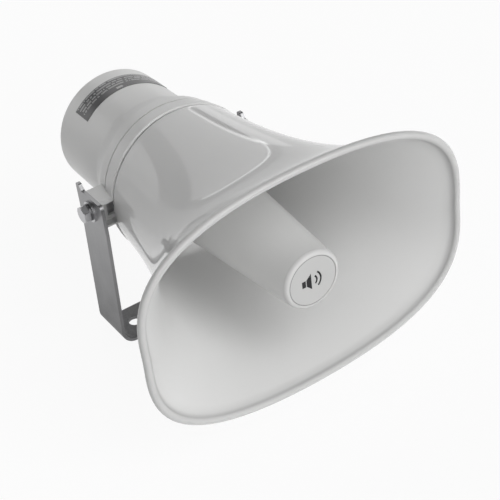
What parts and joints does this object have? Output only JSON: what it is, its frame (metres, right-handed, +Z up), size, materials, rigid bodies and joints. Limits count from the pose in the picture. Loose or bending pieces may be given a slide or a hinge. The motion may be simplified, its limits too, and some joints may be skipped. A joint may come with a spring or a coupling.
{
  "type": "reflex horn loudspeaker",
  "caption": "Outdoor paging horn: wide rounded bell with an inner reflector, round rear cover and a steel U-bracket with a tilt joint.",
  "frame": {"origin": "middle of the centre hole at the underside of the bracket's base, straight below the tilt axis", "axes": "+Z up from the base to the horn, mouth towards -Y, rear cover towards +Y, tilt axis along X"},
  "size_m": [0.2854, 0.303, 0.2269],
  "materials": {
    "bell_enamel": "smooth off-white enamel over spun and pressed aluminium",
    "reflector_plastic": "satin off-white moulded plastic",
    "badge_plate": null,
    "zinc_screw": "zinc-plated",
    "tube_plastic": "moulded plastic",
    "gasket_rubber": "soft black foam rubber",
    "cover_plastic": "fine-grained light grey moulded plastic",
    "grommet_rubber": "black rubber",
    "label_foil": "dark grey foil with plain light fields",
    "cast_alloy": "die-cast",
    "dark_plastic": "moulded plastic",
    "diaphragm_film": "thin phenolic dome",
    "copper_wire": "enamelled copper wire",
    "magnet_steel": "zinc-plated mild steel",
    "ferrite": "sintered ferrite",
    "board_phenolic": "phenolic board",
    "tinned_brass": "tinned",
    "core_steel": "varnished laminations",
    "winding_tape": "yellow winding tape",
    "strap_steel": "bent steel strip",
    "bracket_steel": "satin stainless steel",
    "bolt_steel": "bright stainless steel"
  },
  "bodies": {
    "bracket": {"u_bracket": "bracket_steel"},
    "horn": {"horn_flare": "bell_enamel", "reflector": "reflector_plastic", "reflector_badge": "badge_plate", "reflector_screw": "zinc_screw", "throat_tube": "tube_plastic", "throat_screws": "zinc_screw", "throat_gasket": "gasket_rubber", "flare_gasket": "gasket_rubber", "flare_screws": "zinc_screw", "rear_cover": "cover_plastic", "cable_grommet": "grommet_rubber", "rating_label": "label_foil", "driver_face": "cast_alloy", "driver_screws": "zinc_screw", "phase_plug": "dark_plastic", "diaphragm": "diaphragm_film", "voice_coil": "copper_wire", "top_plate": "magnet_steel", "magnet": "ferrite", "pole_yoke": "magnet_steel", "terminal_board": "board_phenolic", "terminal_tags": "tinned_brass", "transformer_core": "core_steel", "transformer_bobbin": "dark_plastic", "transformer_winding": "winding_tape", "transformer_strap": "strap_steel", "strap_screws": "zinc_screw", "pivot_bolts": "bolt_steel", "spring_washers": "bolt_steel", "flat_washers": "bolt_steel", "ear_nuts": "bolt_steel"}
  },
  "joints": [
    {"name": "tilt", "type": "hinge", "parent": "bracket", "child": "horn", "pos_m": [0, 0, 0.128], "axis": [1, 0, 0], "range_deg": [-220, 42]}
  ]
}
